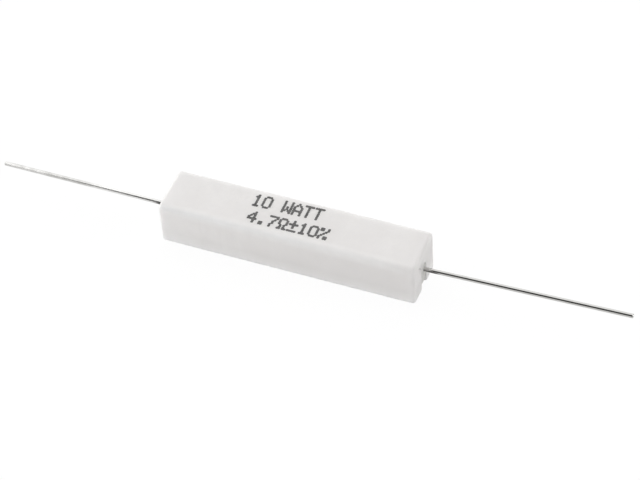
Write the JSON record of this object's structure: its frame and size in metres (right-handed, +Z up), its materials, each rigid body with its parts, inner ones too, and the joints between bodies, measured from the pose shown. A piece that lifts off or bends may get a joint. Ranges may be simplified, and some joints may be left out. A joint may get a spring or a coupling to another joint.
{
  "type": "cement resistor",
  "caption": "Wirewound power resistor: a wound rod with pressed end caps and axial wire leads, potted in a white ceramic trough with notched end walls.",
  "frame": {"origin": "middle of the rim around the trough's open side, which the part stands on", "axes": "+X along the leads towards the longer lead, +Y to the back wall, +Z up towards the closed face"},
  "size_m": [0.1183, 0.01, 0.009],
  "materials": {
    "ceramic": "matte, unglazed, pressed and fired",
    "cement": "matte, gritty",
    "rod_ceramic": "matte",
    "resistance_alloy": "drawn wire",
    "cap_steel": "tinned, satin",
    "tinned_wire": "tinned copper, slightly dull",
    "marking_ink": "matte ink"
  },
  "bodies": {
    "root": {"ceramic_case": "ceramic", "cement_fill": "cement", "core_rod": "rod_ceramic", "resistance_wire": "resistance_alloy", "end_cap_left": "cap_steel", "end_cap_right": "cap_steel", "lead_left": "tinned_wire", "lead_right": "tinned_wire"}
  },
  "joints": []
}
